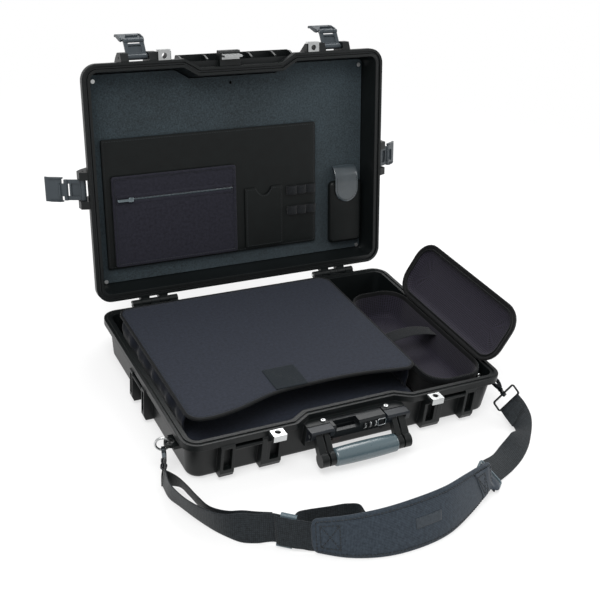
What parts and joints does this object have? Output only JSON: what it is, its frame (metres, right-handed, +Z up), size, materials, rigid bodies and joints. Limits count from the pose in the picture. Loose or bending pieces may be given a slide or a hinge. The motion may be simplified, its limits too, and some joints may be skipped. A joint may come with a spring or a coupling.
{
  "type": "laptop hard case",
  "caption": "Moulded hard case for a laptop, open: latched lid with organizer, padded sleeve, zipped pouch, folding handle, combination lock and shoulder strap.",
  "frame": {"origin": "centre of the base's bottom face, on the floor", "axes": "+X to the case's right side, +Y towards the hinge, +Z up"},
  "size_m": [0.612, 0.7201, 0.4588],
  "materials": {
    "shell": "textured polypropylene, matt black",
    "shell_trim": "moulded nylon, black",
    "seal": "rubber O-ring",
    "steel": "bright stainless steel",
    "liner": "grained slate lining on stiff board",
    "folio": "black leather cloth with pale stitching",
    "mesh_cloth": "dark mesh cloth",
    "elastic": "woven elastic",
    "foam": "lined foam",
    "hook": "black acetal",
    "webbing": "woven nylon webbing",
    "pad_cloth": "nylon faced foam pad",
    "grip": "overmoulded rubber, blue grey",
    "dial": "numbered dials",
    "zip_metal": "painted zinc",
    "sleeve_cloth": "ballistic nylon, charcoal",
    "hook_tape": "hook and loop tape",
    "pouch_shell": "moulded EVA with nylon face",
    "binding": "binding tape",
    "latch_plastic": "glass filled nylon, grey"
  },
  "bodies": {
    "base": {"base_shell": "shell", "hinge_pins": "steel", "padlock_plates_base": "steel", "handle_brackets": "shell_trim", "handle_pins": "steel", "ledge_screws": "steel", "lock_housing": "shell_trim", "purge_valve": "shell_trim", "base_foam": "foam", "strap_rings": "steel", "snap_hook_left": "hook", "snap_hook_right": "hook", "strap_loop_left": "hook", "strap_loop_right": "hook", "webbing_left": "webbing", "webbing_right": "webbing", "shoulder_pad": "pad_cloth", "adjuster_left": "shell_trim", "adjuster_right": "shell_trim"},
    "lid": {"lid_shell": "shell", "lid_seal": "seal", "padlock_plates_lid": "steel", "latch_lid_pins": "steel", "lock_hasp": "shell_trim", "lock_striker": "steel", "liner_panel": "liner", "liner_screws": "steel", "folio_pocket": "folio", "zip_pocket": "mesh_cloth", "card_pocket": "folio", "pen_loops": "elastic", "phone_holster": "folio"},
    "handle": {"handle_frame": "shell_trim", "handle_grip": "grip"},
    "lock_slide_button": {"lock_slide": "shell_trim"},
    "dial_1": {"lock_dial_1": "dial"},
    "dial_2": {"lock_dial_2": "dial"},
    "dial_3": {"lock_dial_3": "dial"},
    "zip_puller": {"zip_pull": "zip_metal"},
    "holster_flap": {"holster_flap": "folio"},
    "sleeve": {"sleeve_body": "sleeve_cloth", "sleeve_patch": "hook_tape"},
    "pouch": {"pouch_body": "pouch_shell", "pouch_band": "elastic", "pouch_pull": "zip_metal", "pouch_hinge": "binding"},
    "pouch_cover": {"pouch_lid": "pouch_shell"},
    "latch_front_left_arm": {"latch_front_left_link": "latch_plastic", "latch_front_left_pin": "steel"},
    "latch_front_left_throw": {"latch_front_left_lever": "latch_plastic"},
    "latch_front_right_arm": {"latch_front_right_link": "latch_plastic", "latch_front_right_pin": "steel"},
    "latch_front_right_throw": {"latch_front_right_lever": "latch_plastic"},
    "latch_side_left_arm": {"latch_side_left_link": "latch_plastic", "latch_side_left_pin": "steel"},
    "latch_side_left_throw": {"latch_side_left_lever": "latch_plastic"},
    "latch_side_right_arm": {"latch_side_right_link": "latch_plastic", "latch_side_right_pin": "steel"},
    "latch_side_right_throw": {"latch_side_right_lever": "latch_plastic"}
  },
  "joints": [
    {"name": "lid_hinge", "type": "hinge", "parent": "base", "child": "lid", "pos_m": [0, 0.189, 0.0665], "axis": [1, 0, 0], "range_deg": [0, 101.7]},
    {"name": "handle_fold", "type": "hinge", "parent": "base", "child": "handle", "pos_m": [0, -0.19, 0.048], "axis": [1, 0, 0], "range_deg": [-50, 26]},
    {"name": "lock_slide_travel", "type": "slide", "parent": "base", "child": "lock_slide_button", "axis": [1, 0, 0], "range_m": [0, 0.0025], "stiffness_N_per_m": 150},
    {"name": "dial_1_turn", "type": "hinge", "parent": "base", "child": "dial_1", "pos_m": [0.0085, -0.1858, 0.0465], "axis": [1, 0, 0], "continuous": true},
    {"name": "dial_2_turn", "type": "hinge", "parent": "base", "child": "dial_2", "pos_m": [0.0168, -0.1858, 0.0465], "axis": [1, 0, 0], "continuous": true},
    {"name": "dial_3_turn", "type": "hinge", "parent": "base", "child": "dial_3", "pos_m": [0.0251, -0.1858, 0.0465], "axis": [1, 0, 0], "continuous": true},
    {"name": "zip_travel", "type": "slide", "parent": "lid", "child": "zip_puller", "axis": [1, 0, 0], "range_m": [0, 0.155]},
    {"name": "holster_flap_lift", "type": "hinge", "parent": "lid", "child": "holster_flap", "pos_m": [0.198, 0.25759, 0.23203], "axis": [1, 0, 0], "range_deg": [-95, 0]},
    {"name": "sleeve_lift", "type": "slide", "parent": "base", "child": "sleeve", "axis": [0, 0, -1], "range_m": [-0.09, 0]},
    {"name": "pouch_lift", "type": "slide", "parent": "base", "child": "pouch", "axis": [0, 0, -1], "range_m": [-0.07, 0]},
    {"name": "pouch_cover_hinge", "type": "hinge", "parent": "pouch", "child": "pouch_cover", "pos_m": [0.234, 0, 0.0702], "axis": [0, -1, 0], "range_deg": [0, 118]},
    {"name": "latch_front_left_swing", "type": "hinge", "parent": "lid", "child": "latch_front_left_arm", "pos_m": [-0.163, 0.27777, 0.43107], "axis": [1, 0, 0], "range_deg": [0, 119]},
    {"name": "latch_front_left_lever_turn", "type": "hinge", "parent": "latch_front_left_arm", "child": "latch_front_left_throw", "pos_m": [-0.163, 0.29473, 0.45078], "axis": [1, 0, 0], "range_deg": [-29, 46]},
    {"name": "latch_front_right_swing", "type": "hinge", "parent": "lid", "child": "latch_front_right_arm", "pos_m": [0.163, 0.27777, 0.43107], "axis": [1, 0, 0], "range_deg": [0, 119]},
    {"name": "latch_front_right_lever_turn", "type": "hinge", "parent": "latch_front_right_arm", "child": "latch_front_right_throw", "pos_m": [0.163, 0.29473, 0.45078], "axis": [1, 0, 0], "range_deg": [-29, 46]},
    {"name": "latch_side_left_swing", "type": "hinge", "parent": "lid", "child": "latch_side_left_arm", "pos_m": [-0.257, 0.23945, 0.246], "axis": [0, 0.2028, 0.9792], "range_deg": [0, 119]},
    {"name": "latch_side_left_lever_turn", "type": "hinge", "parent": "latch_side_left_arm", "child": "latch_side_left_throw", "pos_m": [-0.27974, 0.25179, 0.24344], "axis": [0, 0.2028, 0.9792], "range_deg": [-69, 6]},
    {"name": "latch_side_right_swing", "type": "hinge", "parent": "lid", "child": "latch_side_right_arm", "pos_m": [0.257, 0.23945, 0.246], "axis": [0, -0.2028, -0.9792], "range_deg": [0, 119]},
    {"name": "latch_side_right_lever_turn", "type": "hinge", "parent": "latch_side_right_arm", "child": "latch_side_right_throw", "pos_m": [0.27974, 0.25179, 0.24344], "axis": [0, -0.2028, -0.9792], "range_deg": [-69, 6]}
  ],
  "couplings": [
    {"joint": "pouch_cover_hinge", "follows": "lid_hinge", "ratio": 1.1603}
  ]
}
